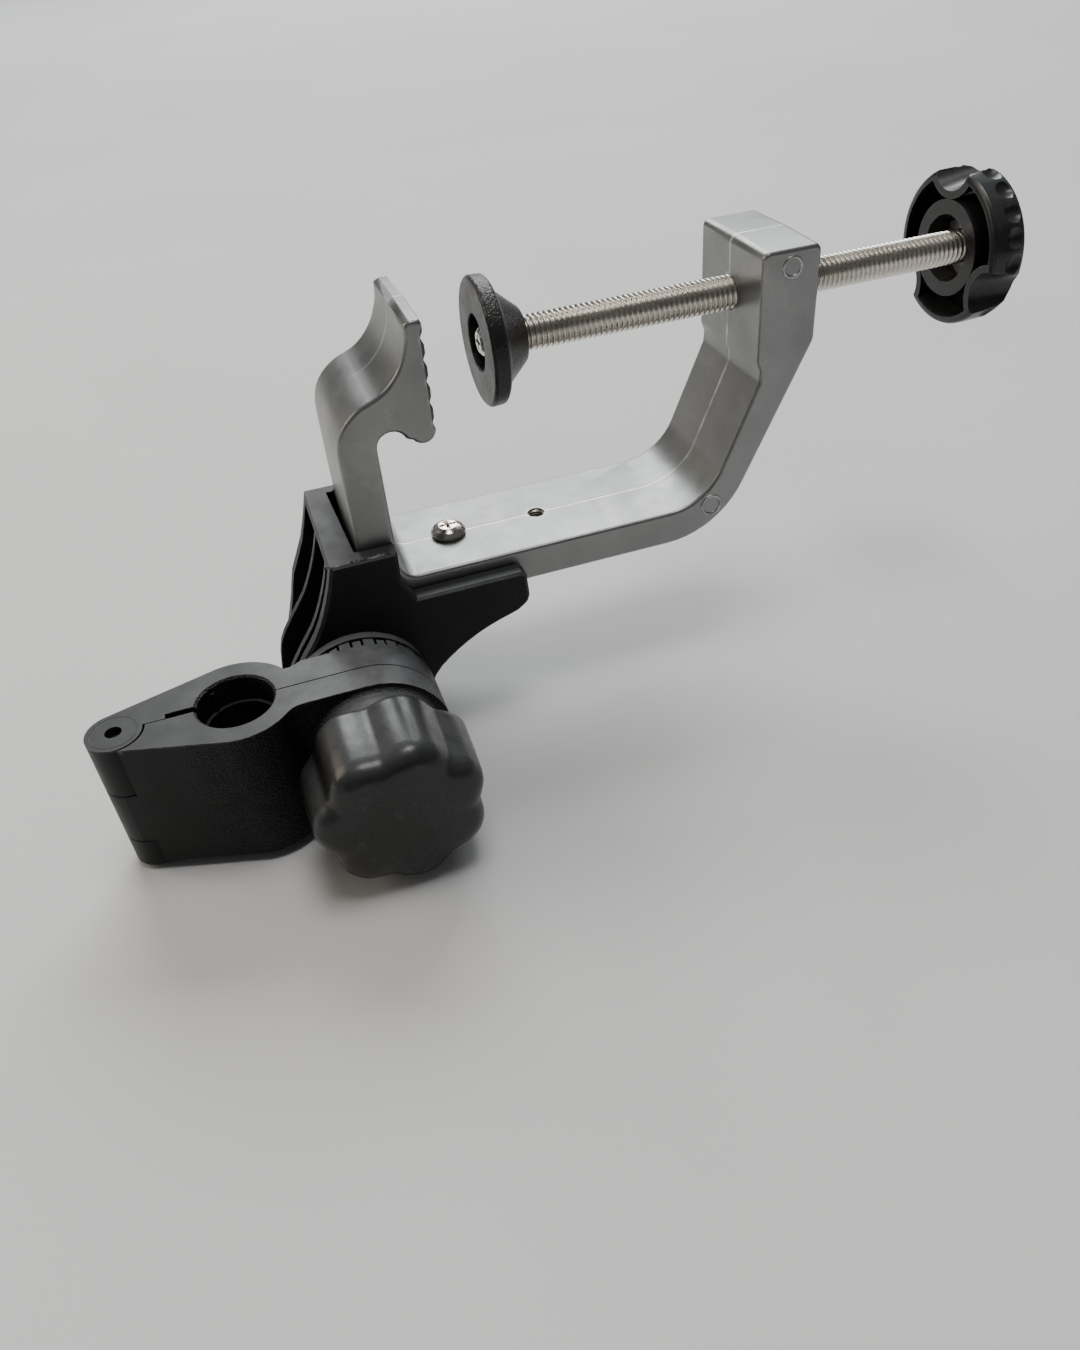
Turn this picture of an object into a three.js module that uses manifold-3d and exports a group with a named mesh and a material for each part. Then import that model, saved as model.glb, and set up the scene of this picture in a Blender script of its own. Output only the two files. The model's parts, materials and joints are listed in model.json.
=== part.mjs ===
// Clamp-on rod holder mount: a C-frame screw clamp carrying a toothed tilt joint
// and a hinged two-part tube clamp.
// Units are millimetres. +Z is up along the jaw, +X runs along the clamping screw
// towards its hand wheel, and the tube clamp stands on the -Y side.
// The origin lies on the bar's upper face, midway along the throat and across the width.

import * as THREE from 'three';
import { mergeVertices } from 'three/addons/utils/BufferGeometryUtils.js';
import Module from 'manifold-3d';

const wasm = await Module();
wasm.setup();

// ---------- driving dimensions ----------

const GAP = 0.3;                      // assembly gap between neighbouring pieces
const RUNNING = 0.08;                 // radial clearance of a turning shaft
const CUT = 5;                        // how far a cutting tool runs past a face
const TAU = 2 * Math.PI;

// C-frame
const FRAME_HALF_WIDTH = 15;
const BAR_THICKNESS = 8.4;
const UPRIGHT_INNER_X = -43.7;
const UPRIGHT_OUTER_X = -52.2;
const HEAD_INNER_X = 43.7;
const HEAD_OUTER_X = 57.6;
const HEAD_TOP_Z = 57;
const HEAD_FOOT_Z = 36;               // where the outer slope meets the head
const ARM_SLOPE = 65 * Math.PI / 180; // slope of the arm below the head
const ARM_INNER_FILLET = 15;
const ARM_OUTER_FILLET = 22;
const ARM_INNER_CORNER_X = 31.8;      // sharp corner of bar top and arm inner face
const ARM_OUTER_CORNER_X = 35.9;      // sharp corner of bar underside and arm outer face
const FRAME_EDGE_ROUND = 0.9;
const JAW_FACE_X = -30.6;
const JAW_TOP_Z = 57.3;
const SERRATION_PITCH = 4.5;
const SERRATION_DEPTH = 0.8;

// clamping screw, M8
const SCREW_Z = 44.6;
const SCREW_RADIUS = 3.9;
const SCREW_START_X = -9.5;
const SCREW_END_X = 108.3;

// swivel pad
const PAD_FACE_X = -16.6;
const PAD_RADIUS = 13.9;
const PAD_RIM_THICKNESS = 3.9;
const PAD_NECK_X = -6.4;
const PAD_NECK_RADIUS = 5.9;
const PAD_HOLE_RADIUS = 6.1;
const PAD_HOLE_DEPTH = 3.4;
const PAD_WASHER_THICKNESS = 0.8;
const PAD_STEM_RADIUS = 1.6;          // screw that holds the pad on the rod

// hand wheel
const WHEEL_START_X = 100.5;
const WHEEL_END_X = 111.5;
const WHEEL_RADIUS = 17.5;
const WHEEL_WALL = 1.7;
const WHEEL_ROOF = 2.2;               // thickness of the domed outer face
const WHEEL_HUB_RADIUS = 10.9;
const WHEEL_HUB_BORE = 7.6;
const WHEEL_HUB_DEPTH = 5.4;
const NOTCH_RADIUS = 6.6;             // at the frame side; the notch narrows outwards
const NOTCH_END_RADIUS = 3.9;
const NOTCH_CENTRE = 19;
const NOTCH_ANGLES = [83, 203, 323];  // degrees from +Y towards +Z

// bracket screw, M4
const BRACKET_SCREW_X = -28.8;
const SPARE_HOLE_X = -6.6;
const SPARE_HOLE_RADIUS = 2.15;
const M4_RADIUS = 2;
const M4_HEAD_RADIUS = 4.2;
const M4_HEAD_HEIGHT = 2.3;
const M4_NUT_FLATS = 7;

// moulded bracket
const BRACKET_FRONT_Y = -19.5;
const BRACKET_BACK_Y = 18.4;
const COLLAR_TOP_Z = 10;
const COLLAR_SLOT_BACK_X = -54.2;     // the slot beside the upright narrows towards the front
const COLLAR_SLOT_FRONT_X = -53.1;
const LIP_TOP_Z = -3;
const CHANNEL_CLEARANCE = 0.35;
const RIB_THICKNESS = 1.8;
const RIB_NEAR_Y = -14.4;
const RIB_MIDDLE_Y = -0.4;
const SHELL_WALL = 3;

// tilt joint, axis along Y
const TILT_X = -58.3;
const TILT_Z = -24;
const RING_RADIUS = 16.2;
const RING_FACE_Y = -21.6;
const TOOTH_COUNT = 18;
const TOOTH_WIDTH = 8.8 * Math.PI / 180;      // on the bracket
const REAR_TOOTH_WIDTH = 6.8 * Math.PI / 180; // on the tube clamp
const TOOTH_INNER = 11;
const TOOTH_OUTER = 15.7;
const TOOTH_TIP_Y = -24.7;
const TOOTH_PHASE = 96.8 * Math.PI / 180; // middle of one bracket tooth, from +X towards +Z
const BOLT_RADIUS = 3.9;
const BOLT_END_Y = -62;
const BOLT_SEAT_Y = -12;
const BOLT_CORE_RADIUS = 11.5;
const HEX_FLATS = 13;
const BOLT_HEAD_HEIGHT = 5.3;
const BOLT_ACCESS_RADIUS = 9;
const BOLT_WASHER_THICKNESS = 1.6;
const SPRING_SEAT_RADIUS = 7.6;
const SPRING_RADIUS = 6.2;
const SPRING_WIRE = 0.5;
const SPRING_TURNS = 2.6;

// tube clamp
const SPLIT_Y = -33;
const SPLIT_GAP = 0.3;
const CLAMP_HALF_HEIGHT = 16.6;
const DISC_RADIUS = 16.6;
const REAR_DISC_Y = -25.1;
const FRONT_PLATE_Y = -39.9;
const FRONT_SEAT_Y = -45.2;
const SEAT_RADIUS = 14.7;
const SEAT_SWEEP = 1.8;               // radius of the concave round behind the seat
const BORE_X = -85.3;
const BORE_RADIUS = 8.2;
const BORE_LEDGE = 0.8;                // the middle of the bore is narrower by this
const BORE_WIDE_LENGTH = 6.5;         // length of each wide end
const BORE_CHAMFER = 0.5;
const BORE_RIB_ANGLE = 125 * Math.PI / 180; // thin moulded rib inside the rear half, from +X to +Y
const BORE_RIB_RADIUS = 0.6;
const BULGE_RADIUS = 13;
const HINGE_X = -110.2;
const KNUCKLE_RADIUS = 5.9;
const NECK_DEPTH = 1.3;               // dip between the tube bulge and the rear joint disc
const NECK_ROUND = 5;                 // concave round between the bulge and the front plate
const KNUCKLE_SPLITS = [-20.2, -34.2]; // heights where the hinge knuckles meet
const PIN_RADIUS = 1.7;
const PIN_RECESS = 2.1;               // the pin stops short of the knuckle ends
const KNUCKLE_DROP = 1.1;             // the lowest knuckle stands proud of the underside

// tilt knob
const KNOB_BACK_Y = -46.3;
const KNOB_FRONT_Y = -66.6;
const KNOB_RADIUS = 18.9;
const KNOB_LOBES = 7;
const KNOB_LOBE_DEPTH = 1.9;
const KNOB_LOBE_SHARPNESS = 0.71;     // below 1 gives broad lobes and narrow valleys
const KNOB_EDGE_ROUND = 3.3;
const KNOB_PHASE = 71.5 * Math.PI / 180;
const INSERT_RADIUS = 6.4;
const INSERT_LENGTH = 13;

// ---------- solids ----------

function toSolid(geometry) {
  const bare = geometry.index ? geometry.toNonIndexed() : geometry.clone();
  bare.deleteAttribute('normal');
  bare.deleteAttribute('uv');
  const merged = mergeVertices(bare, 1e-4);
  return new wasm.Manifold(new wasm.Mesh({
    numProp: 3,
    vertProperties: new Float32Array(merged.attributes.position.array),
    triVerts: new Uint32Array(merged.index.array),
  }));
}

function toGeometry(solid) {
  const mesh = solid.getMesh();
  const geometry = new THREE.BufferGeometry();
  geometry.setAttribute('position', new THREE.BufferAttribute(mesh.vertProperties, 3));
  geometry.setIndex(new THREE.BufferAttribute(mesh.triVerts, 1));
  const flat = geometry.toNonIndexed();
  flat.computeVertexNormals();
  return flat;
}

function join(...solids) {
  return solids.reduce((whole, piece) => whole.add(piece));
}

function cut(body, ...tools) {
  return tools.reduce((rest, tool) => rest.subtract(tool), body);
}

function outline(points) {
  return new THREE.Shape(points.map(([a, b]) => new THREE.Vector2(a, b)));
}

function extrude(shape, depth, round, curveSegments, roundSteps) {
  return new THREE.ExtrudeGeometry(shape, {
    depth: depth - 2 * round,
    curveSegments,
    bevelEnabled: round > 0,
    bevelThickness: round,
    bevelSize: round,
    bevelOffset: -round,
    bevelSegments: roundSteps,
  }).translate(0, 0, round);
}

// shape given as (x, z), filling from y0 to y1
function alongY(shape, y0, y1, round = 0, curveSegments = 16, roundSteps = 1) {
  const geometry = extrude(shape, y1 - y0, round, curveSegments, roundSteps);
  return toSolid(geometry.rotateX(Math.PI / 2).translate(0, y1, 0));
}

// shape given as (x, y), filling from z0 to z1
function alongZ(shape, z0, z1) {
  return toSolid(extrude(shape, z1 - z0, 0, 1, 1).translate(0, 0, z0));
}

// shape given as (y, z), filling from x0 to x1
function alongX(shape, x0, x1, round = 0) {
  const turn = new THREE.Matrix4().makeBasis(
    new THREE.Vector3(0, 1, 0), new THREE.Vector3(0, 0, 1), new THREE.Vector3(1, 0, 0));
  return toSolid(extrude(shape, x1 - x0, round, 1, 1).applyMatrix4(turn).translate(x0, 0, 0));
}

function circle(a, b, radius) {
  const shape = new THREE.Shape();
  shape.absarc(a, b, radius, 0, TAU, false);
  return shape;
}

function hexagon(a, b, acrossFlats) {
  const radius = acrossFlats / Math.sqrt(3);
  const corners = [];
  for (let i = 0; i < 6; i += 1) {
    const angle = (i + 0.5) * TAU / 6;
    corners.push([a + radius * Math.cos(angle), b + radius * Math.sin(angle)]);
  }
  return outline(corners);
}

function box(x0, x1, y0, y1, z0, z1) {
  const geometry = new THREE.BoxGeometry(x1 - x0, y1 - y0, z1 - z0);
  return toSolid(geometry.translate((x0 + x1) / 2, (y0 + y1) / 2, (z0 + z1) / 2));
}

// profile of [radius, distance along the axis] pairs that starts and ends on the axis
function turned(profile, segments = 32) {
  return new THREE.LatheGeometry(profile.map(([r, h]) => new THREE.Vector2(r, h)), segments);
}

function turnedAlongX(profile, z, segments) {
  return toSolid(turned(profile, segments).rotateZ(-Math.PI / 2).translate(0, 0, z));
}

function turnedAlongY(profile, x, z, segments) {
  return toSolid(turned(profile, segments).translate(x, 0, z));
}

function turnedAlongZ(profile, x, y, segments) {
  return toSolid(turned(profile, segments).rotateX(Math.PI / 2).translate(x, y, 0));
}

function rod(axis, a, b, radius, from, to, segments = 28) {
  const profile = [[0, from], [radius, from], [radius, to], [0, to]];
  if (axis === 'x') return turnedAlongX(profile, b, segments);
  if (axis === 'y') return turnedAlongY(profile, a, b, segments);
  return turnedAlongZ(profile, a, b, segments);
}

function ring(axis, a, b, inner, outer, from, to, segments = 24) {
  const whole = rod(axis, a, b, outer, from, to, segments);
  return cut(whole, rod(axis, a, b, inner, from - CUT, to + CUT, segments));
}

// points of a circular fillet between two straight edges that meet at a corner
function fillet(corner, fromAngle, toAngle, radius, steps = 8) {
  const turn = toAngle - fromAngle;
  const reach = radius * Math.tan(Math.abs(turn) / 2);
  const side = Math.sign(turn);
  const startX = corner[0] - reach * Math.cos(fromAngle);
  const startY = corner[1] - reach * Math.sin(fromAngle);
  const centreX = startX - side * radius * Math.sin(fromAngle);
  const centreY = startY + side * radius * Math.cos(fromAngle);
  const points = [];
  for (let i = 0; i <= steps; i += 1) {
    const angle = fromAngle + turn * i / steps;
    points.push([centreX + side * radius * Math.sin(angle), centreY - side * radius * Math.cos(angle)]);
  }
  return points;
}

function arc(a, b, radius, from, to, steps = 8) {
  const points = [];
  for (let i = 0; i <= steps; i += 1) {
    const angle = (from + (to - from) * i / steps) * Math.PI / 180;
    points.push([a + radius * Math.cos(angle), b + radius * Math.sin(angle)]);
  }
  return points;
}

function smooth(points, count) {
  const curve = new THREE.SplineCurve(points.map(([a, b]) => new THREE.Vector2(a, b)));
  return curve.getPoints(count).map((p) => [p.x, p.y]);
}

// ---------- metal clamp ----------

function frameOutline() {
  const up = Math.PI / 2;
  const bottomLeft = fillet([UPRIGHT_OUTER_X, -BAR_THICKNESS], -up, 0, 3, 5);
  const outerBend = fillet([ARM_OUTER_CORNER_X, -BAR_THICKNESS], 0, ARM_SLOPE, ARM_OUTER_FILLET, 10);
  const headCorner = fillet([HEAD_OUTER_X, HEAD_FOOT_Z], ARM_SLOPE, up, 4, 3);
  const headTop = [
    ...fillet([HEAD_OUTER_X, HEAD_TOP_Z], up, 2 * up, 1.6, 4),
    ...fillet([HEAD_INNER_X, HEAD_TOP_Z], 2 * up, 3 * up, 1.6, 4),
  ];
  const undercut = [[HEAD_INNER_X, 33], [HEAD_INNER_X + 0.9, 30.8], [HEAD_INNER_X + 0.7, 28]];
  const innerBend = fillet([ARM_INNER_CORNER_X, 0], ARM_SLOPE - Math.PI, -Math.PI, ARM_INNER_FILLET, 9);
  const uprightFoot = fillet([UPRIGHT_INNER_X, 0], Math.PI, up, 4, 6);
  const hookHollow = arc(-40.4, 32, 3.3, 180, 20, 9);
  const nose = arc(-33.6, 34.2, 2.9, 215, 350, 8);
  const jawTop = [[JAW_FACE_X, JAW_TOP_Z - 1], [JAW_FACE_X - 0.6, JAW_TOP_Z], [-33, JAW_TOP_Z + 0.1],
    [-34.3, JAW_TOP_Z - 0.5]];
  const jawBack = smooth([[-34.4, 55.4], [-34.9, 52.4], [-37, 47.9], [-40.8, 44.1], [-46.4, 41.6],
    [-50.2, 38.2], [-51.9, 34], [UPRIGHT_OUTER_X, 29]], 24);
  return outline([...bottomLeft, ...outerBend, ...headCorner, ...headTop, ...undercut, ...innerBend,
    ...uprightFoot, ...hookHollow, ...nose, ...jawTop, ...jawBack]);
}

function serrationGrooves() {
  const radius = 1.7;
  const grooves = [];
  for (let i = 0; i < 5; i += 1) {
    const z = 35.4 + i * SERRATION_PITCH;
    const x = JAW_FACE_X + radius - SERRATION_DEPTH;
    grooves.push(rod('y', x, z, radius, -FRAME_HALF_WIDTH - CUT, FRAME_HALF_WIDTH + CUT, 20));
  }
  return grooves;
}

function clampFrame() {
  const body = alongY(frameOutline(), -FRAME_HALF_WIDTH, FRAME_HALF_WIDTH, FRAME_EDGE_ROUND, 1, 2);
  const screwHole = rod('x', 0, SCREW_Z, SCREW_RADIUS + RUNNING, HEAD_INNER_X - CUT, HEAD_OUTER_X + CUT);
  const bracketHole = rod('z', BRACKET_SCREW_X, 0, M4_RADIUS + GAP, -BAR_THICKNESS - CUT, CUT, 20);
  const spareHole = rod('z', SPARE_HOLE_X, 0, SPARE_HOLE_RADIUS, -BAR_THICKNESS - CUT, CUT, 20);
  return cut(body, screwHole, bracketHole, spareHole, ...serrationGrooves());
}

function clampScrew() {
  const tip = 0.8;
  const rodBody = turnedAlongX([[0, SCREW_START_X], [SCREW_RADIUS - tip, SCREW_START_X],
    [SCREW_RADIUS, SCREW_START_X + tip], [SCREW_RADIUS, SCREW_END_X], [0, SCREW_END_X]], SCREW_Z, 32);
  return cut(rodBody, rod('x', 0, SCREW_Z, PAD_STEM_RADIUS + GAP, SCREW_START_X - CUT,
    SCREW_START_X + 9, 16));
}

function clampPad() {
  const rimBack = PAD_FACE_X + PAD_RIM_THICKNESS;
  const cup = turnedAlongX([[0, PAD_FACE_X], [PAD_RADIUS - 0.6, PAD_FACE_X], [PAD_RADIUS, PAD_FACE_X + 0.6],
    [PAD_RADIUS - 0.2, rimBack - 0.5], [PAD_RADIUS - 0.9, rimBack], [PAD_RADIUS - 3.4, rimBack + 0.9],
    [PAD_NECK_RADIUS + 0.3, PAD_NECK_X - 0.5], [PAD_NECK_RADIUS - 0.2, PAD_NECK_X], [0, PAD_NECK_X]],
  SCREW_Z, 56);
  const recess = rod('x', 0, SCREW_Z, PAD_HOLE_RADIUS, PAD_FACE_X - CUT, PAD_FACE_X + PAD_HOLE_DEPTH, 40);
  const stemHole = rod('x', 0, SCREW_Z, PAD_STEM_RADIUS + GAP, PAD_FACE_X, PAD_NECK_X, 16);
  const rodSeat = rod('x', 0, SCREW_Z, SCREW_RADIUS + RUNNING, SCREW_START_X - GAP, PAD_NECK_X + CUT);
  return cut(cup, recess, stemHole, rodSeat);
}

function padWasher() {
  const seat = PAD_FACE_X + PAD_HOLE_DEPTH - GAP;
  return ring('x', 0, SCREW_Z, PAD_STEM_RADIUS + GAP, 4.6, seat - PAD_WASHER_THICKNESS, seat, 28);
}

function padScrew() {
  const seat = PAD_FACE_X + PAD_HOLE_DEPTH - 2 * GAP - PAD_WASHER_THICKNESS;
  const head = turnedAlongX([[0, seat - 1.6], [2.2, seat - 1.6], [3.1, seat - 1], [3.3, seat],
    [PAD_STEM_RADIUS, seat], [PAD_STEM_RADIUS, SCREW_START_X + 7], [0, SCREW_START_X + 7]], SCREW_Z, 28);
  const slotX = seat - 1.6;
  const slots = [[0.4, 1.7], [1.7, 0.4]].map(([halfY, halfZ]) =>
    box(slotX - 1, slotX + 0.9, -halfY, halfY, SCREW_Z - halfZ, SCREW_Z + halfZ));
  return cut(head, ...slots);
}

// ---------- hand wheel ----------

// tapered cutters for the finger notches, grown by a wall
function notchCones(wall) {
  return NOTCH_ANGLES.map((degrees) => {
    const angle = degrees * Math.PI / 180;
    const profile = [[0, WHEEL_START_X - 1], [NOTCH_RADIUS + wall, WHEEL_START_X - 1],
      [NOTCH_END_RADIUS + wall, WHEEL_END_X + 1], [0, WHEEL_END_X + 1]];
    const height = SCREW_Z + NOTCH_CENTRE * Math.sin(angle);
    return turnedAlongX(profile, height, 32).translate([0, NOTCH_CENTRE * Math.cos(angle), 0]);
  });
}

function gripDimples() {
  const radius = 3.4;
  const reach = WHEEL_RADIUS + 2.2;
  const pitch = 18.5;
  const dimples = [];
  NOTCH_ANGLES.forEach((degrees) => {
    for (let k = -2; k <= 2; k += 1) {
      const angle = (degrees + 60 + k * pitch) * Math.PI / 180;
      const y = reach * Math.cos(angle);
      const z = SCREW_Z + reach * Math.sin(angle);
      dimples.push(toSolid(new THREE.SphereGeometry(radius, 14, 10).translate(WHEEL_END_X - 5, y, z)));
    }
  });
  return dimples;
}

function handWheel() {
  const rim = WHEEL_RADIUS;
  const shell = turnedAlongX([[0, WHEEL_START_X], [rim - 0.9, WHEEL_START_X],
    [rim - 0.3, WHEEL_START_X + 0.3], [rim, WHEEL_START_X + 0.9], [rim, WHEEL_END_X - 4.4],
    [rim - 0.7, WHEEL_END_X - 2.5], [rim - 2.4, WHEEL_END_X - 1], [rim - 5, WHEEL_END_X - 0.3],
    [0, WHEEL_END_X]], SCREW_Z, 72);
  const room = rod('x', 0, SCREW_Z, rim - WHEEL_WALL, WHEEL_START_X - CUT, WHEEL_END_X - WHEEL_ROOF - 1, 60);
  const hub = rod('x', 0, SCREW_Z, WHEEL_HUB_RADIUS, WHEEL_START_X - CUT, WHEEL_END_X, 48);
  const hollow = cut(room, hub, ...notchCones(WHEEL_WALL));
  const hubBore = rod('x', 0, SCREW_Z, WHEEL_HUB_BORE, WHEEL_START_X - CUT,
    WHEEL_START_X + WHEEL_HUB_DEPTH, 40);
  const insertBore = alongX(hexagon(0, SCREW_Z, HEX_FLATS + GAP * 2), WHEEL_START_X, WHEEL_END_X - 2.6);
  return cut(shell, hollow, hubBore, insertBore, ...notchCones(0), ...gripDimples());
}

function wheelInsert() {
  const nut = alongX(hexagon(0, SCREW_Z, HEX_FLATS), WHEEL_START_X + WHEEL_HUB_DEPTH, WHEEL_END_X - 2.9);
  return cut(nut, rod('x', 0, SCREW_Z, SCREW_RADIUS + RUNNING, WHEEL_START_X, WHEEL_END_X));
}

// ---------- bracket ----------

function bracketOutline() {
  const web = smooth([[-15.9, -11.4], [-18.4, -13.3], [-23.4, -14.9], [-28.6, -17], [-33.9, -20.1],
    [-38.6, -23.8], [-41.4, -27.4]], 12);
  const underRing = arc(TILT_X, TILT_Z, 17.3, -11, -168, 18);
  const leftEdge = smooth([[-75.2, -27.5], [-73.6, -19], [-69.9, -12.8], [-65, -5.8], [-61.3, 2.5],
    [-59, COLLAR_TOP_Z]], 14);
  return outline([[-44.2, COLLAR_TOP_Z], [-44.4, 2.9], [-43.4, 0], [-41.6, LIP_TOP_Z],
    [-16.8, LIP_TOP_Z], [-15.6, -4], [-15.3, -9.8], ...web, ...underRing, ...leftEdge].reverse());
}

function frameChannel() {
  const half = FRAME_HALF_WIDTH + CHANNEL_CLEARANCE;
  const floor = -BAR_THICKNESS - GAP;
  const slot = outline([[COLLAR_SLOT_FRONT_X, -half + 0.3], [UPRIGHT_OUTER_X + 1, -half + 0.3],
    [UPRIGHT_OUTER_X + 1, half - 0.6], [COLLAR_SLOT_BACK_X, half - 0.6]]);
  return join(
    alongZ(slot, floor, COLLAR_TOP_Z + CUT),
    box(UPRIGHT_OUTER_X - GAP, 0, -half, half, floor, COLLAR_TOP_Z + CUT),
  );
}

// open pockets that leave the upright fins and ribs on the -X side
function sidePockets() {
  const upper = [[-57.4, 8], [-58.2, 2], [-60.4, -6], [-62.2, -12.2]];
  const lower = [[-44, -12.2], [-44, -28], [-47, -35.6], [-58.3, -38.6], [-66, -35], [-71, -29.2],
    [-90, -29.2]];
  const pocket = outline([...upper, ...lower, [-90, 8]]);
  const bays = [
    [BRACKET_FRONT_Y + SHELL_WALL, RIB_NEAR_Y],
    [RIB_NEAR_Y + RIB_THICKNESS, RIB_MIDDLE_Y],
    [RIB_MIDDLE_Y + RIB_THICKNESS, BRACKET_BACK_Y - SHELL_WALL],
  ];
  return bays.map(([from, to]) => alongY(pocket, from, to));
}

// the back wall is set back from the fins along its free edge
function backSetBack() {
  const edge = smooth([[-59, COLLAR_TOP_Z], [-61.9, -0.4], [-64.9, -7.2], [-66.6, -11], [-68.2, -17.2],
    [-70, -22.9], [-72.2, -30], [-73.8, -39.6], [-74.5, -45]], 14);
  const beyond = outline([...edge, [-90, -45], [-90, COLLAR_TOP_Z + 1], [-59, COLLAR_TOP_Z + 1]].reverse());
  return alongY(beyond, RIB_MIDDLE_Y + RIB_THICKNESS, BRACKET_BACK_Y + CUT);
}

// hollow under the bar, open at the bottom
function webPocket() {
  const room = outline([[-18.2, -12.4], [-41, -12.4], [-41, -50], [-18.2, -50]]);
  return alongY(room, BRACKET_FRONT_Y + SHELL_WALL, BRACKET_BACK_Y - SHELL_WALL);
}

function toothRing(phase, width, baseY, tipY) {
  const teeth = [];
  for (let i = 0; i < TOOTH_COUNT; i += 1) {
    const middle = phase + i * TAU / TOOTH_COUNT;
    const shape = new THREE.Shape();
    shape.absarc(TILT_X, TILT_Z, TOOTH_OUTER, middle - width / 2, middle + width / 2, false);
    shape.absarc(TILT_X, TILT_Z, TOOTH_INNER, middle + width / 2, middle - width / 2, true);
    teeth.push(alongY(shape, Math.min(baseY, tipY), Math.max(baseY, tipY), 0, 2));
  }
  return teeth;
}

function mountingBracket() {
  const body = alongY(bracketOutline(), BRACKET_FRONT_Y, BRACKET_BACK_Y, 0.6);
  const shell = cut(body, frameChannel(), ...sidePockets(), webPocket(), backSetBack());
  const boss = rod('y', TILT_X, TILT_Z, RING_RADIUS, RING_FACE_Y, BRACKET_FRONT_Y + 1, 56);
  const core = rod('y', TILT_X, TILT_Z, BOLT_CORE_RADIUS, BRACKET_FRONT_Y + 1, BOLT_SEAT_Y, 36);
  const teeth = toothRing(TOOTH_PHASE, TOOTH_WIDTH, RING_FACE_Y + 1, TOOTH_TIP_Y);
  const screwBore = rod('z', BRACKET_SCREW_X, 0, M4_RADIUS + GAP, -30, 0, 20);
  const nutSeat = alongZ(hexagon(BRACKET_SCREW_X, 0, M4_NUT_FLATS + 2 * GAP), -30, -11.9);
  const boltBore = rod('y', TILT_X, TILT_Z, BOLT_RADIUS + GAP, TOOTH_TIP_Y - CUT, BRACKET_BACK_Y, 24);
  const headAccess = rod('y', TILT_X, TILT_Z, BOLT_ACCESS_RADIUS, BOLT_SEAT_Y, BRACKET_BACK_Y + CUT, 32);
  const springSeat = rod('y', TILT_X, TILT_Z, SPRING_SEAT_RADIUS, TOOTH_TIP_Y - CUT, RING_FACE_Y + 3, 28);
  return cut(join(shell, boss, core, ...teeth), screwBore, nutSeat, boltBore, headAccess, springSeat);
}

function bracketScrew() {
  const seat = GAP;
  const shank = -16.5;
  const body = turnedAlongZ([[0, shank], [M4_RADIUS - 0.4, shank], [M4_RADIUS, shank + 0.5],
    [M4_RADIUS, seat], [M4_HEAD_RADIUS, seat], [M4_HEAD_RADIUS, seat + 0.7],
    [M4_HEAD_RADIUS - 0.7, seat + 1.6], [M4_HEAD_RADIUS - 2, seat + M4_HEAD_HEIGHT - 0.15],
    [0, seat + M4_HEAD_HEIGHT]], BRACKET_SCREW_X, 0, 32);
  const slots = [[0.45, 2.1], [2.1, 0.45]].map(([halfX, halfY]) =>
    box(BRACKET_SCREW_X - halfX, BRACKET_SCREW_X + halfX, -halfY, halfY, seat + 1, seat + 4));
  return cut(body, ...slots);
}

function bracketNut() {
  const nut = alongZ(hexagon(BRACKET_SCREW_X, 0, M4_NUT_FLATS), -15.4, -12.2);
  return cut(nut, rod('z', BRACKET_SCREW_X, 0, M4_RADIUS + RUNNING, -20, -10, 20));
}

// ---------- tilt joint hardware ----------

function jointBolt() {
  const seat = BOLT_SEAT_Y + GAP + BOLT_WASHER_THICKNESS + GAP;
  const head = alongY(hexagon(TILT_X, TILT_Z, HEX_FLATS), seat, seat + BOLT_HEAD_HEIGHT, 0.5);
  const shank = turnedAlongY([[0, BOLT_END_Y], [BOLT_RADIUS - 0.8, BOLT_END_Y],
    [BOLT_RADIUS, BOLT_END_Y + 0.8], [BOLT_RADIUS, seat + 1], [0, seat + 1]], TILT_X, TILT_Z, 28);
  return join(head, shank);
}

function boltWasher() {
  const from = BOLT_SEAT_Y + GAP;
  return ring('y', TILT_X, TILT_Z, BOLT_RADIUS + GAP, 8, from, from + BOLT_WASHER_THICKNESS);
}

class SpringPath extends THREE.Curve {
  constructor(radius, from, to, turns) {
    super();
    Object.assign(this, { radius, from, to, turns });
  }

  getPoint(t, target = new THREE.Vector3()) {
    const angle = t * this.turns * TAU;
    const y = this.from + (this.to - this.from) * t;
    return target.set(TILT_X + this.radius * Math.cos(angle), y, TILT_Z + this.radius * Math.sin(angle));
  }
}

function releaseSpring() {
  const wire = circle(0, 0, SPRING_WIRE);
  const path = new SpringPath(SPRING_RADIUS, RING_FACE_Y + 2.1, REAR_DISC_Y + 0.9, SPRING_TURNS);
  const geometry = new THREE.ExtrudeGeometry(wire, { steps: 44, extrudePath: path, curveSegments: 3 });
  return toSolid(geometry);
}

function thrustWasher() {
  return ring('y', TILT_X, TILT_Z, BOLT_RADIUS + GAP, SPRING_SEAT_RADIUS, REAR_DISC_Y - 1,
    REAR_DISC_Y - 0.1);
}

function knobWasher() {
  return ring('y', TILT_X, TILT_Z, BOLT_RADIUS + RUNNING, 9, FRONT_SEAT_Y - 0.9, FRONT_SEAT_Y + 0.3);
}

// ---------- tube clamp ----------

// concave round from the tube bulge to the flat front plate, as seen from above
function frontNeck() {
  const across = BULGE_RADIUS + NECK_ROUND;
  const down = SPLIT_Y - FRONT_PLATE_Y + NECK_ROUND;
  const lean = Math.asin(down / across);
  const centreX = BORE_X + across * Math.cos(lean);
  const meet = lean * 180 / Math.PI;
  return { meet, points: arc(centreX, SPLIT_Y - down, NECK_ROUND, 180 - meet, 90, 6) };
}

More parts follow.
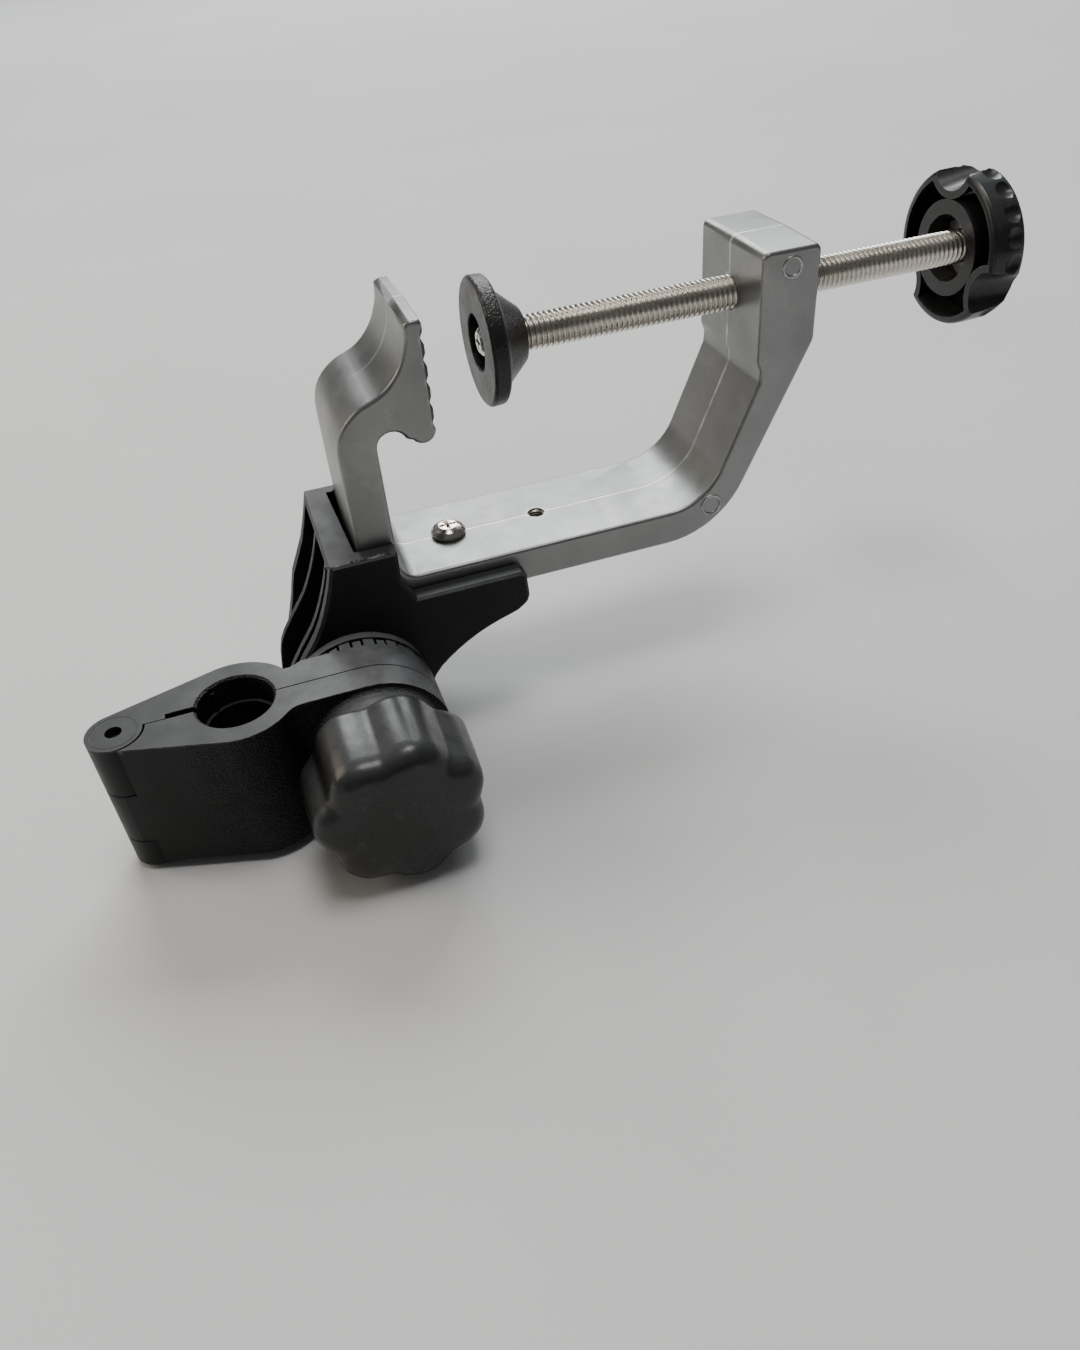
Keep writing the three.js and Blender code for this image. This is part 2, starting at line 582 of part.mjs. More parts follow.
// small dip between the tube bulge and the joint disc behind the split
function rearNeck() {
  const neckY = REAR_DISC_Y - NECK_DEPTH;
  const meet = Math.asin((neckY - SPLIT_Y) / BULGE_RADIUS);
  const neckX = BORE_X + BULGE_RADIUS * Math.cos(meet) + 1.4;
  return { meet: meet * 180 / Math.PI, points: [[neckX, neckY], [neckX + 2.6, REAR_DISC_Y]] };
}

// outline seen from above of one half; side is +1 behind the split, -1 in front of it
function halfOutline(side, discY) {
  const face = SPLIT_Y + side * SPLIT_GAP / 2;
  const lean = Math.asin((BULGE_RADIUS - KNUCKLE_RADIUS) / (BORE_X - HINGE_X)) * 180 / Math.PI;
  const { meet, points: neck } = side > 0 ? rearNeck() : frontNeck();
  const around = arc(BORE_X, SPLIT_Y, BULGE_RADIUS, side * (90 + lean), side * meet, 14);
  const knuckle = arc(HINGE_X, SPLIT_Y, KNUCKLE_RADIUS, side * 90, side * (90 + lean), 2);
  const endX = TILT_X + DISC_RADIUS + 2;
  const points = [[HINGE_X, face], ...knuckle, ...around.slice(1), ...neck.slice(side > 0 ? 0 : 1),
    [endX, discY], [endX, face]];
  return outline(side > 0 ? points.reverse() : points);
}

// side view common to both halves: straight from the hinge, round about the tilt axis
function clampSideView() {
  const low = TILT_Z - CLAMP_HALF_HEIGHT;
  const high = TILT_Z + CLAMP_HALF_HEIGHT;
  return outline([[HINGE_X - 20, low], ...arc(TILT_X, TILT_Z, DISC_RADIUS, -90, 90, 20), [HINGE_X - 20, high]]);
}

function knuckleBarrel(z0, z1, radius) {
  return rod('z', HINGE_X, SPLIT_Y, radius, z0, z1, 36);
}

function tubeBore() {
  const top = TILT_Z + CLAMP_HALF_HEIGHT;
  const low = TILT_Z - CLAMP_HALF_HEIGHT;
  return join(
    rod('z', BORE_X, SPLIT_Y, BORE_RADIUS - BORE_LEDGE, low - CUT, top + CUT, 48),
    rod('z', BORE_X, SPLIT_Y, BORE_RADIUS, top - BORE_WIDE_LENGTH, top + CUT, 48),
    rod('z', BORE_X, SPLIT_Y, BORE_RADIUS, low - CUT, low + BORE_WIDE_LENGTH, 48),
    turnedAlongZ([[0, top - BORE_CHAMFER], [BORE_RADIUS, top - BORE_CHAMFER],
      [BORE_RADIUS + 2 * BORE_CHAMFER, top + BORE_CHAMFER], [0, top + BORE_CHAMFER]], BORE_X, SPLIT_Y, 48),
  );
}

function clampHalf(side, discY, ownKnuckles, otherKnuckles) {
  const top = TILT_Z + CLAMP_HALF_HEIGHT;
  const low = TILT_Z - CLAMP_HALF_HEIGHT;
  const slab = alongZ(halfOutline(side, discY), low, top);
  const sideView = alongY(clampSideView(), SPLIT_Y - 30, SPLIT_Y + 30);
  const barrels = ownKnuckles.map(([z0, z1]) => knuckleBarrel(z0, z1, KNUCKLE_RADIUS));
  const rooms = otherKnuckles.map(([z0, z1]) => knuckleBarrel(z0, z1, KNUCKLE_RADIUS + 0.5));
  const body = cut(slab.intersect(sideView), ...rooms);
  const pinHole = rod('z', HINGE_X, SPLIT_Y, PIN_RADIUS + RUNNING, low - CUT, top + CUT, 24);
  return cut(join(body, ...barrels), pinHole, tubeBore());
}

function knuckleHeights() {
  const top = TILT_Z + CLAMP_HALF_HEIGHT;
  const low = TILT_Z - CLAMP_HALF_HEIGHT;
  const [upper, lower] = KNUCKLE_SPLITS;
  const rear = [[upper, top], [low - KNUCKLE_DROP, lower]];
  const front = [[lower + GAP, upper - GAP]];
  const rearRooms = [[lower - 0.01, upper + 0.01]];
  const frontRooms = [[upper - GAP, top + CUT], [low - CUT, lower + GAP]];
  return { rear, front, rearRooms, frontRooms };
}

function rearClampHalf() {
  const { rear, rearRooms } = knuckleHeights();
  const half = clampHalf(1, REAR_DISC_Y, rear, rearRooms);
  const clearance = rod('y', TILT_X, TILT_Z, RING_RADIUS + 0.9, REAR_DISC_Y, 0, 56);
  const teeth = toothRing(TOOTH_PHASE + TAU / TOOTH_COUNT / 2, REAR_TOOTH_WIDTH, REAR_DISC_Y - 1,
    RING_FACE_Y - 0.4);
  const boltHole = rod('y', TILT_X, TILT_Z, BOLT_RADIUS + GAP, -50, 0);
  const washerSeat = rod('y', TILT_X, TILT_Z, 8, REAR_DISC_Y - 1.3, 0);
  const slot = box(BORE_X - BORE_RADIUS - 6.2, BORE_X, SPLIT_Y, SPLIT_Y + 1.6,
    TILT_Z - CLAMP_HALF_HEIGHT - CUT, TILT_Z + CLAMP_HALF_HEIGHT + CUT);
  const rib = rod('z', BORE_X + BORE_RADIUS * Math.cos(BORE_RIB_ANGLE),
    SPLIT_Y + BORE_RADIUS * Math.sin(BORE_RIB_ANGLE), BORE_RIB_RADIUS,
    TILT_Z - CLAMP_HALF_HEIGHT + 1, TILT_Z + CLAMP_HALF_HEIGHT - 1.6, 10);
  return cut(join(cut(half, clearance), ...teeth, rib), boltHole, washerSeat, slot);
}

// concave quarter round from the knob seat out to the front plate
function seatSweep() {
  const steps = 5;
  const sweep = [[SEAT_RADIUS, FRONT_SEAT_Y + 1.1]];
  for (let i = 0; i <= steps; i += 1) {
    const angle = i / steps * Math.PI / 2;
    sweep.push([SEAT_RADIUS + SEAT_SWEEP * (1 - Math.cos(angle)),
      FRONT_PLATE_Y - SEAT_SWEEP * (1 - Math.sin(angle))]);
  }
  return sweep;
}

function frontClampHalf() {
  const { front, frontRooms } = knuckleHeights();
  const half = clampHalf(-1, FRONT_PLATE_Y, front, frontRooms);
  const seat = turnedAlongY([[0, FRONT_SEAT_Y], [SEAT_RADIUS - 1, FRONT_SEAT_Y],
    [SEAT_RADIUS - 0.3, FRONT_SEAT_Y + 0.4], ...seatSweep(), [SEAT_RADIUS + SEAT_SWEEP, -36], [0, -36]],
  TILT_X, TILT_Z, 56);
  const boltHole = rod('y', TILT_X, TILT_Z, BOLT_RADIUS + 1.2, -60, -20);
  const washerSeat = rod('y', TILT_X, TILT_Z, 9.6, -60, FRONT_SEAT_Y + 0.6, 36);
  return cut(join(half, seat), boltHole, washerSeat);
}

function hingePin() {
  const top = TILT_Z + CLAMP_HALF_HEIGHT - PIN_RECESS;
  const low = TILT_Z - CLAMP_HALF_HEIGHT - KNUCKLE_DROP + PIN_RECESS;
  return rod('z', HINGE_X, SPLIT_Y, PIN_RADIUS, low, top, 20);
}

// ---------- tilt knob ----------

function knobRadius(angle, inset) {
  const wave = (1 + Math.cos(KNOB_LOBES * (angle - KNOB_PHASE))) / 2;
  return KNOB_RADIUS - KNOB_LOBE_DEPTH * (1 - Math.pow(wave, KNOB_LOBE_SHARPNESS)) - inset;
}

function knobBody() {
  const rows = [[KNOB_BACK_Y, 0.8], [KNOB_BACK_Y - 0.8, 0], [KNOB_FRONT_Y + KNOB_EDGE_ROUND + 0.6, 0.5]];
  for (let i = 1; i <= 5; i += 1) {
    const angle = i / 5 * Math.PI / 2;
    rows.push([KNOB_FRONT_Y + 0.6 + KNOB_EDGE_ROUND * (1 - Math.sin(angle)),
      0.5 + KNOB_EDGE_ROUND * (1 - Math.cos(angle))]);
  }
  const around = KNOB_LOBES * 12;
  const positions = [];
  rows.forEach(([y, inset]) => {
    for (let i = 0; i < around; i += 1) {
      const angle = i / around * TAU;
      const r = knobRadius(angle, inset);
      positions.push(TILT_X + r * Math.cos(angle), y, TILT_Z + r * Math.sin(angle));
    }
  });
  const backCentre = positions.length / 3;
  positions.push(TILT_X, KNOB_BACK_Y, TILT_Z);
  const frontCentre = backCentre + 1;
  positions.push(TILT_X, KNOB_FRONT_Y, TILT_Z);
  const index = [];
  const last = rows.length - 1;
  for (let i = 0; i < around; i += 1) {
    const j = (i + 1) % around;
    index.push(backCentre, j, i);
    index.push(frontCentre, last * around + i, last * around + j);
    for (let row = 0; row < last; row += 1) {
      const a = row * around;
      const b = a + around;
      index.push(a + i, a + j, b + j, a + i, b + j, b + i);
    }
  }
  const geometry = new THREE.BufferGeometry();
  geometry.setAttribute('position', new THREE.BufferAttribute(new Float32Array(positions), 3));
  geometry.setIndex(index);
  return toSolid(geometry);
}

function tiltKnob() {
  const insertSeat = rod('y', TILT_X, TILT_Z, INSERT_RADIUS + GAP, KNOB_BACK_Y - INSERT_LENGTH - GAP,
    KNOB_BACK_Y + CUT, 28);
  const boltRoom = rod('y', TILT_X, TILT_Z, BOLT_RADIUS + GAP, BOLT_END_Y - 2, KNOB_BACK_Y, 24);
  return cut(knobBody(), insertSeat, boltRoom);
}

function knobInsert() {
  return ring('y', TILT_X, TILT_Z, BOLT_RADIUS + RUNNING, INSERT_RADIUS,
    KNOB_BACK_Y - INSERT_LENGTH, KNOB_BACK_Y - GAP);
}

// ---------- materials and assembly ----------

const MATERIALS = {
  silverPaint: { color: 0xa9aba9, roughness: 0.42, metalness: 0.55 },
  nickelSteel: { color: 0xcfc8bd, roughness: 0.22, metalness: 1 },
  chrome: { color: 0xdcd8d2, roughness: 0.15, metalness: 1 },
  zincSteel: { color: 0xa6a49f, roughness: 0.35, metalness: 1 },
  brass: { color: 0xb08d4c, roughness: 0.35, metalness: 1 },
  blackPlastic: { color: 0x17181a, roughness: 0.55, metalness: 0 },
  glossyBlack: { color: 0x141517, roughness: 0.36, metalness: 0 },
};

const PIECES = [
  ['clamp_frame', clampFrame, 'silverPaint'],
  ['clamp_screw', clampScrew, 'nickelSteel'],
  ['clamp_pad', clampPad, 'blackPlastic'],
  ['pad_washer', padWasher, 'zincSteel'],
  ['pad_screw', padScrew, 'chrome'],
  ['hand_wheel', handWheel, 'glossyBlack'],
  ['wheel_insert', wheelInsert, 'zincSteel'],
  ['mounting_bracket', mountingBracket, 'blackPlastic'],
  ['bracket_screw', bracketScrew, 'chrome'],
  ['bracket_nut', bracketNut, 'zincSteel'],
  ['joint_bolt', jointBolt, 'zincSteel'],
  ['bolt_washer', boltWasher, 'zincSteel'],
  ['release_spring', releaseSpring, 'zincSteel'],
  ['thrust_washer', thrustWasher, 'zincSteel'],
  ['rear_clamp_half', rearClampHalf, 'blackPlastic'],
  ['front_clamp_half', frontClampHalf, 'blackPlastic'],
  ['hinge_pin', hingePin, 'zincSteel'],
  ['knob_washer', knobWasher, 'zincSteel'],
  ['tilt_knob', tiltKnob, 'glossyBlack'],
  ['knob_insert', knobInsert, 'brass'],
];

const assembly = new THREE.Group();
for (const [name, build, material] of PIECES) {
  const mesh = new THREE.Mesh(toGeometry(build()), new THREE.MeshStandardMaterial(MATERIALS[material]));
  mesh.name = name;
  assembly.add(mesh);
}

export default assembly;
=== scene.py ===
"""Looks for the clamp-on rod holder mount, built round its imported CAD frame. Units are metres."""

import json
import math
import random

import bmesh
import bpy
from mathutils import Matrix, Vector


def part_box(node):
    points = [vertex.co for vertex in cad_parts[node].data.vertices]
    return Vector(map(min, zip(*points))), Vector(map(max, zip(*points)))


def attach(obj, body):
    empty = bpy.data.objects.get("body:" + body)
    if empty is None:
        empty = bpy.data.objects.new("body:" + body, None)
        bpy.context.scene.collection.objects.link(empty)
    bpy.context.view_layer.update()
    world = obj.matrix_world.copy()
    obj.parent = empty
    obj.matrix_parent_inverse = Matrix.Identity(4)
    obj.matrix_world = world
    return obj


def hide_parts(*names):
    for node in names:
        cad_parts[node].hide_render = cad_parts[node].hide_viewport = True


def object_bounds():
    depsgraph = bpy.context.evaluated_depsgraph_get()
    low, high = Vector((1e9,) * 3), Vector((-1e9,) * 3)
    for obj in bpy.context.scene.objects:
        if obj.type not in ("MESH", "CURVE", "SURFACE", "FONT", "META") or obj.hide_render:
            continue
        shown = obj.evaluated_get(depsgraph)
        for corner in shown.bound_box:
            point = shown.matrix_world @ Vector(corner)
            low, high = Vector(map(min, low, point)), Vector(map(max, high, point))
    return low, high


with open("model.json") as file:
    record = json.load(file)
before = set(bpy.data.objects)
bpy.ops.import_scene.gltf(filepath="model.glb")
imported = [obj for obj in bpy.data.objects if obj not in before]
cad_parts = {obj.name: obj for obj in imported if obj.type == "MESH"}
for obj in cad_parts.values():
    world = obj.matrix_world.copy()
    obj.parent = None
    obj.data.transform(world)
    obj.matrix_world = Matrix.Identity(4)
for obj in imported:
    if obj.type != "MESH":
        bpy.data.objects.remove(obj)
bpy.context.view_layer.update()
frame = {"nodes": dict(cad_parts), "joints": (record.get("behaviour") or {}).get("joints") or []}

MM = 0.001
TAU = 2 * math.pi

# the clamping screw and the bar's spare hole
M8_PITCH = 1.25 * MM
M8_THREAD_DEPTH = 0.6 * MM
M4_PITCH = 0.7 * MM
M4_HOLE_WALL = 2.18 * MM
M4_CREST = 1.78 * MM
SPARE_HOLE_X = -6.6 * MM

# the lobed knob
KNOB_LOBES = 7
KNOB_RADIUS = 18.9 * MM
KNOB_LOBE_DEPTH = 1.95 * MM
KNOB_LOBE_SHARPNESS = 0.71
KNOB_PHASE = math.radians(71.5)
KNOB_EDGE = 4.6 * MM
KNOB_EDGE_INSET = 0.45 * MM
KNOB_DOME_RISE = 0.7 * MM

# marks that casting and moulding leave
CROWN_RISE = 0.3 * MM
UNDERSIDE_BELOW = -8 * MM
COLLAR_FRONT_Y = -18.95 * MM
COLLAR_FLASH_ENDS = (-60.4 * MM, -44.7 * MM)
RING_SINK = 0.05 * MM
HEAD_MARK_INSET = 6.9 * MM
HEAD_MARK_DROP = 4.3 * MM
HEAD_MARK_RADIUS = 2.1 * MM
BEND_MARK_INSET = 24.4 * MM
BEND_MARK_Z = -0.3 * MM
BEND_MARK_RADIUS = 2.4 * MM

# where the black plastic's painted top light begins, and its pale edges, part wear and part painted
# highlight
RING_TOP_LIGHT = ("Y", -18.6 * MM, -19.2 * MM)
DISC_TOP_LIGHT = ("X", -84 * MM, -62 * MM)
HALF_TOP_WEAR_AND_HIGHLIGHT = -8.1 * MM


# ---------- places taken from the frame ----------

def size(node):
    low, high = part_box(node)
    return high - low


def joint(name):
    return next(j for j in frame["joints"] if j["name"] == name)


TILT_AXIS = Vector(joint("tilt")["pos_m"])
SCREW_AXIS = Vector(joint("screw_turn")["pos_m"])
HINGE_AXIS = Vector(joint("clamp_open")["pos_m"])


# ---------- node materials ----------

class Nodes:
    """A material's node tree with short calls for the nodes used here."""

    def __init__(self, name):
        self.material = bpy.data.materials.new(name)
        self.material.use_nodes = True
        self.tree = self.material.node_tree
        self.shader = self.tree.nodes["Principled BSDF"]
        self.place = self.add("ShaderNodeTexCoord").outputs["Object"]
        self.shape = self.add("ShaderNodeNewGeometry")

    def add(self, kind, **settings):
        node = self.tree.nodes.new(kind)
        for key, value in settings.items():
            setattr(node, key, value)
        return node

    def link(self, source, target):
        self.tree.links.new(source, target)

    def put(self, socket, value):
        if hasattr(value, "is_output"):
            self.link(value, socket)
        else:
            socket.default_value = value

    def noise(self, scale, detail=4.0, rough=0.5, stretch=(1, 1, 1)):
        mapping = self.add("ShaderNodeMapping")
        mapping.inputs["Scale"].default_value = stretch
        self.link(self.place, mapping.inputs["Vector"])
        node = self.add("ShaderNodeTexNoise")
        node.inputs["Scale"].default_value = scale
        node.inputs["Detail"].default_value = detail
        node.inputs["Roughness"].default_value = rough
        self.link(mapping.outputs["Vector"], node.inputs["Vector"])
        return node.outputs["Fac"]

    def cells(self, scale):
        node = self.add("ShaderNodeTexVoronoi", feature="F1")
        node.inputs["Scale"].default_value = scale
        self.link(self.place, node.inputs["Vector"])
        return node.outputs["Distance"]

    def fit(self, value, low, high, to_low=0.0, to_high=1.0):
        node = self.add("ShaderNodeMapRange")
        self.put(node.inputs["Value"], value)
        node.inputs["From Min"].default_value = low
        node.inputs["From Max"].default_value = high
        node.inputs["To Min"].default_value = to_low
        node.inputs["To Max"].default_value = to_high
        return node.outputs["Result"]

    def math(self, operation, a, b=0.0):
        node = self.add("ShaderNodeMath", operation=operation)
        self.put(node.inputs[0], a)
        self.put(node.inputs[1], b)
        return node.outputs["Value"]

    def blend(self, amount, a, b):
        node = self.add("ShaderNodeMix", data_type="RGBA")
        self.put(node.inputs["Factor"], amount)
        self.put(node.inputs["A"], a)
        self.put(node.inputs["B"], b)
        return node.outputs["Result"]

    def bump(self, height, strength, distance, below=None):
        node = self.add("ShaderNodeBump")
        node.inputs["Strength"].default_value = strength
        node.inputs["Distance"].default_value = distance
        self.link(height, node.inputs["Height"])
        if below is not None:
            self.link(below, node.inputs["Normal"])
        return node.outputs["Normal"]

    def edges(self, reach=0.7 * MM):
        """1 on outward edges, 0 on flat ground further than the reach from an edge."""
        node = self.add("ShaderNodeAmbientOcclusion", samples=4, inside=True, only_local=True)
        node.inputs["Distance"].default_value = reach
        return self.fit(node.outputs["AO"], 0.92, 0.55)

    def near_plane(self, axis, inner, outer):
        """1 within the inner distance of the part's middle plane along one axis, 0 beyond the outer."""
        split = self.add("ShaderNodeSeparateXYZ")
        self.link(self.place, split.inputs["Vector"])
        return self.fit(self.math("ABSOLUTE", split.outputs[axis]), inner, outer, 1, 0)

    def beyond(self, axis, start, full):
        """Fades from 0 at one place along an axis of the part to 1 at another."""
        split = self.add("ShaderNodeSeparateXYZ")
        self.link(self.place, split.inputs["Vector"])
        return self.fit(split.outputs[axis], start, full)

    def side_faces(self):
        """1 on faces that stand upright, 0 on those that face up or down."""
        split = self.add("ShaderNodeSeparateXYZ")
        self.link(self.shape.outputs["Normal"], split.inputs["Vector"])
        return self.fit(self.math("ABSOLUTE", split.outputs["Z"]), 0.75, 0.9, 1, 0)

    def top_faces(self):
        """1 on faces that look up, where dust settles and tops are painted lighter, 0 on upright ones."""
        split = self.add("ShaderNodeSeparateXYZ")
        self.link(self.shape.outputs["Normal"], split.inputs["Vector"])
        return self.fit(split.outputs["Z"], 0.35, 0.95)

    def finish(self, color, roughness, metallic=0.0, normal=None, coat=0.0, specular=0.5):
        self.put(self.shader.inputs["Base Color"], color)
        self.put(self.shader.inputs["Roughness"], roughness)
        self.shader.inputs["Metallic"].default_value = metallic
        self.shader.inputs["Coat Weight"].default_value = coat
        self.shader.inputs["Coat Roughness"].default_value = 0.3
        self.shader.inputs["Specular IOR Level"].default_value = specular
        if normal is not None:
            self.link(normal, self.shader.inputs["Normal"])
        return self.material


def grey(value, warm=0.0):
    return (value * (1 + warm), value, value * (1 - warm), 1.0)


def silver_paint():
    n = Nodes("silver_paint")
    clouds = n.noise(38, 5, 0.6)
    streaks = n.noise(150, 4, 0.6, stretch=(1, 0.22, 1))
    flakes = n.noise(5200, 2, 0.5)
    tone = n.blend(n.fit(clouds, 0.32, 0.7), (0.18, 0.184, 0.18, 1), (0.245, 0.25, 0.245, 1))
    tone = n.blend(n.fit(streaks, 0.58, 0.76, 0, 0.5), tone, (0.33, 0.32, 0.30, 1))
    tone = n.blend(n.fit(flakes, 0.35, 0.75, 0, 0.3), tone, (0.36, 0.37, 0.365, 1))
    pits = n.fit(n.noise(900, 3, 0.6), 0.66, 0.74, 0, 0.25)
    tone = n.blend(pits, tone, (0.10, 0.10, 0.097, 1))
    broken = n.fit(n.noise(150, 4, 0.6), 0.36, 0.56, 0.15, 1.0)
    parting = n.math("MULTIPLY", n.near_plane("Y", 0.1 * MM, 0.5 * MM), broken)
    parting = n.math("MULTIPLY", parting, n.beyond("X", -46 * MM, -42 * MM))
    tone = n.blend(n.math("MULTIPLY", parting, 0.6), tone, (0.75, 0.74, 0.71, 1))
    pale_edges = n.math("MULTIPLY", n.edges(0.8 * MM), n.fit(n.noise(420, 4), 0.38, 0.6))
    tone = n.blend(n.math("MULTIPLY", pale_edges, 0.6), tone, (0.62, 0.62, 0.60, 1))
    rough = n.fit(n.noise(90, 5, 0.65), 0.3, 0.75, 0.30, 0.46)
    peel = n.bump(n.noise(1500, 4, 0.55), 0.12, 0.08 * MM)
    cast = n.bump(n.noise(260, 4, 0.6), 0.14, 0.25 * MM, peel)
    ridge = n.bump(parting, 0.5, 0.12 * MM, cast)
    return n.finish(tone, rough, 0.8, ridge)


def plated_steel(name, tone, low=0.16, high=0.34, grain=(1, 1, 1), root=0.55):
    n = Nodes(name)
    smear = n.noise(240, 5, 0.6, stretch=grain)
    color = n.blend(n.fit(smear, 0.3, 0.7), tone, tuple(c * 0.82 for c in tone[:3]) + (1,))
    # darker, browner tone in concave hollows such as thread roots
    hollow_dark = n.fit(n.shape.outputs["Pointiness"], 0.47, 0.40, 0, root)
    color = n.blend(hollow_dark, color, (tone[0] * 0.34, tone[1] * 0.31, tone[2] * 0.28, 1))
    rough = n.fit(n.noise(900, 4, 0.6, stretch=grain), 0.3, 0.7, low, high)
    scratch = n.bump(n.noise(1800, 3, 0.6, stretch=grain), 0.08, 0.04 * MM)
    return n.finish(color, rough, 1.0, scratch)


def black_plastic(name, low=0.36, high=0.48, dust=0.12, grain=0.0, all_round=False, specular=0.22, wear_and_highlight=0.7,
                  painted_light_tops=None, wear_and_highlight_above=None):
    """Moulded black plastic.

    grain is the depth of a leather-like texture, on side faces only unless all_round is set.
    One argument names an axis and where along it painted light on the top faces starts and is full, lighting
    tops that fall in the bracket's shade.
    Another argument limits the pale edges, worn edges with a painted highlight along the top rim, to those
    above that height.
    """
    n = Nodes(name)
    clouds = n.noise(60, 5, 0.6)
    color = n.blend(n.fit(clouds, 0.3, 0.7), grey(0.0055), grey(0.0105, 0.02))
    specks = n.fit(n.noise(1900, 2), 0.70, 0.76, 0, dust)
    color = n.blend(specks, color, grey(0.14))
    scratches = n.fit(n.noise(420, 5, 0.7, stretch=(1, 0.2, 0.6)), 0.68, 0.76, 0, dust * 0.7)
    color = n.blend(scratches, color, grey(0.10))
    # pale edges: edge wear, with a painted highlight where edges would catch the light
    pale_edges = n.math("MULTIPLY", n.edges(0.5 * MM), n.fit(n.noise(700, 4), 0.36, 0.62, 0.15, 1.0))
    # kept to the top, they paint the highlight along the front half's bright top rim
    if wear_and_highlight_above is not None:
        pale_edges = n.math("MULTIPLY", pale_edges, n.beyond("Z", wear_and_highlight_above - 0.9 * MM, wear_and_highlight_above))
    color = n.blend(n.math("MULTIPLY", pale_edges, wear_and_highlight), color, grey(0.16))
    # top faces painted lighter: settled dust, and a painted sheen for the light from above
    dust_and_top_sheen = n.math("MULTIPLY", n.top_faces(), n.fit(n.noise(90, 5, 0.6), 0.2, 0.7, 0.55, 1.0))
    color = n.blend(dust_and_top_sheen, color, grey(0.046, -0.04))
    # painted light: top faces in the bracket's shade, towards its ring or the front half's disc, are painted
    # lighter, mottled by noise
    if painted_light_tops:
        axis, start, full = painted_light_tops
        painted_top_light = n.math("MULTIPLY", n.top_faces(), n.beyond(axis, start, full))
        painted_top_light = n.math("MULTIPLY", painted_top_light, n.fit(n.noise(260, 5, 0.65), 0.25, 0.65, 0.45, 1.0))
        color = n.blend(painted_top_light, color, grey(0.17, -0.04))
    rough = n.fit(n.noise(170, 5, 0.65), 0.3, 0.72, low, high)
    normal = n.bump(n.noise(3000, 3, 0.6), 0.30, 0.05 * MM)
    if grain:
        leather = n.fit(n.cells(2100), 0.0, 0.75)
        if not all_round:
            leather = n.math("MULTIPLY", leather, n.side_faces())
            leather = n.math("MULTIPLY", leather, n.beyond("X", -101 * MM, -92 * MM))
        normal = n.bump(leather, 0.8, grain, normal)
    return n.finish(color, rough, 0.0, normal, specular=specular)


def scuffed_black(name, low=0.24, high=0.40):
    n = Nodes(name)
    clouds = n.noise(70, 5, 0.6)
    color = n.blend(n.fit(clouds, 0.3, 0.7), grey(0.0055), grey(0.011, 0.02))
    scuffs = n.fit(n.noise(330, 6, 0.7, stretch=(1, 0.35, 1)), 0.57, 0.70, 0, 0.32)
    color = n.blend(scuffs, color, grey(0.075))
    scratches = n.fit(n.noise(700, 4, 0.7, stretch=(0.15, 1, 1)), 0.69, 0.74, 0, 0.3)
    color = n.blend(scratches, color, grey(0.12))
    pale_edges = n.math("MULTIPLY", n.edges(0.5 * MM), n.fit(n.noise(600, 5, 0.6), 0.4, 0.65))
    color = n.blend(n.math("MULTIPLY", pale_edges, 0.4), color, grey(0.12))
    # top faces painted lighter: dust, and a painted sheen on the upper lobes for the light from above
    dust_and_top_sheen = n.math("MULTIPLY", n.top_faces(), n.fit(n.noise(120, 5, 0.6), 0.2, 0.7, 0.5, 1.0))
    color = n.blend(dust_and_top_sheen, color, grey(0.075, -0.04))
    rough = n.fit(n.noise(260, 6, 0.75), 0.3, 0.72, low, high)
    ripple = n.bump(n.noise(700, 5, 0.65), 0.22, 0.12 * MM)
    return n.finish(color, rough, 0.0, n.bump(n.noise(3200, 2), 0.14, 0.04 * MM, ripple), specular=0.42)


def flash_plastic():
    """Thin torn plastic at a mould joint, paler than the body because it is stressed."""
    n = Nodes("flash_plastic")
    tone = n.blend(n.fit(n.noise(380, 5, 0.7), 0.42, 0.66), grey(0.035), grey(0.38))
    rough = n.fit(n.noise(1500, 3), 0.3, 0.7, 0.45, 0.7)
    return n.finish(tone, rough, 0.0, n.bump(n.noise(2500), 0.2, 0.05 * MM))


def brass():
    n = Nodes("turned_brass")
    color = n.blend(n.fit(n.noise(300, 4), 0.3, 0.7), (0.62, 0.45, 0.20, 1), (0.50, 0.35, 0.15, 1))
    rough = n.fit(n.noise(800, 3), 0.3, 0.7, 0.22, 0.4)
    return n.finish(color, rough, 1.0, n.bump(n.noise(2000), 0.1, 0.05 * MM))


LOOKS = {
    "silver": silver_paint(),
    "thread": plated_steel("nickel_steel", (0.72, 0.68, 0.62, 1), 0.22, 0.38, (0.2, 1, 1)),
    "bright": plated_steel("bright_steel", (0.80, 0.76, 0.69, 1), 0.10, 0.24, root=0.3),
    "zinc": plated_steel("zinc_steel", (0.42, 0.42, 0.41, 1), 0.28, 0.46),
    "brass": brass(),
    "bracket": black_plastic("bracket_plastic", 0.42, 0.56, wear_and_highlight=0.5, painted_light_tops=RING_TOP_LIGHT),
    "grained": black_plastic("grained_plastic", 0.38, 0.50, grain=0.34 * MM, wear_and_highlight=0.85,
                             wear_and_highlight_above=HALF_TOP_WEAR_AND_HIGHLIGHT,
                             painted_light_tops=DISC_TOP_LIGHT),
    "pad": black_plastic("pad_plastic", 0.26, 0.42, 0.3, grain=0.12 * MM, all_round=True, specular=0.4),
    "knob": scuffed_black("knob_plastic", 0.22, 0.38),
    "wheel": scuffed_black("wheel_plastic", 0.24, 0.42),
    "flash": flash_plastic(),
}


# ---------- meshes ----------

def new_object(name, mesh):
    obj = bpy.data.objects.new(name, mesh)
    bpy.context.scene.collection.objects.link(obj)
    return obj


def from_bmesh(name, bm):
    bmesh.ops.recalc_face_normals(bm, faces=bm.faces)
    mesh = bpy.data.meshes.new(name)
    bm.to_mesh(mesh)
    bm.free()
    return new_object(name, mesh)


